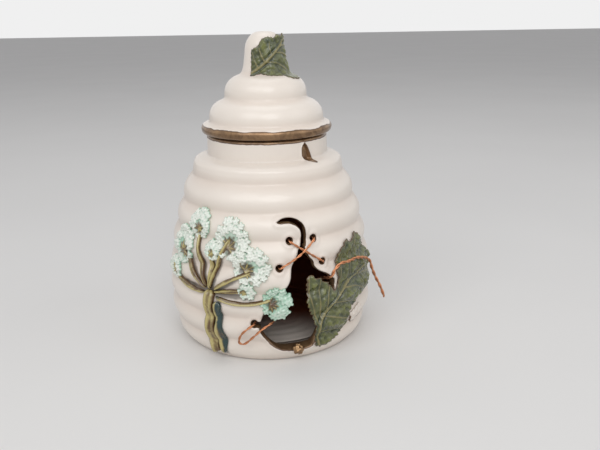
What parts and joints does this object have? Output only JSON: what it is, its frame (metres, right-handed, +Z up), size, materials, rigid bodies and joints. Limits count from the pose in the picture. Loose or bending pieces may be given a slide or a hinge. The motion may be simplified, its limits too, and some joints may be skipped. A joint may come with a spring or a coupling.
{
  "type": "honey pot with lid",
  "caption": "Ribbed beehive-shaped ceramic honey pot with a lift-off domed lid, a torn front doorway, applied clay leaves and flower, and formed copper wires.",
  "frame": {"origin": "centre of the flat base that the pot stands on", "axes": "+Z up along the pot's axis, front with the doorway towards -Y, +X to the right seen from the front"},
  "size_m": [0.1019, 0.0994, 0.1414],
  "materials": {
    "cream_glaze": "satin-gloss glazed ceramic",
    "leaf_glaze": "glossy green glaze with brown veins",
    "stem_glaze": "glossy olive glaze",
    "teal_glaze": "glossy dark teal glaze",
    "flower_glaze": "glossy white to mint glaze",
    "lustre": "bronze lustre",
    "copper": "bare copper wire"
  },
  "bodies": {
    "pot": {"pot_body": "cream_glaze", "broad_leaf": "leaf_glaze", "leaf_chip": "cream_glaze", "flower_stem": "stem_glaze", "stem_side": "teal_glaze", "flower_ray_1": "stem_glaze", "flower_ray_2": "stem_glaze", "flower_ray_3": "stem_glaze", "flower_ray_4": "stem_glaze", "flower_ray_5": "stem_glaze", "flower_ray_6": "stem_glaze", "flower_ray_7": "stem_glaze", "flower_ray_8": "stem_glaze", "flower_head_1": "flower_glaze", "flower_head_2": "flower_glaze", "flower_head_3": "flower_glaze", "flower_head_4": "flower_glaze", "flower_head_5": "flower_glaze", "flower_head_6": "flower_glaze", "flower_head_7": "flower_glaze", "flower_head_8": "flower_glaze", "sill_bead": "lustre", "stitch_wire_1": "copper", "stitch_wire_2": "copper", "loop_wire": "copper", "hook_wire": "copper"},
    "lid": {"lid": "cream_glaze", "knob_leaf": "leaf_glaze"}
  },
  "joints": [
    {"name": "lid_lift", "type": "slide", "parent": "pot", "child": "lid", "axis": [0, 0, 1], "range_m": [0, 0.06]}
  ]
}
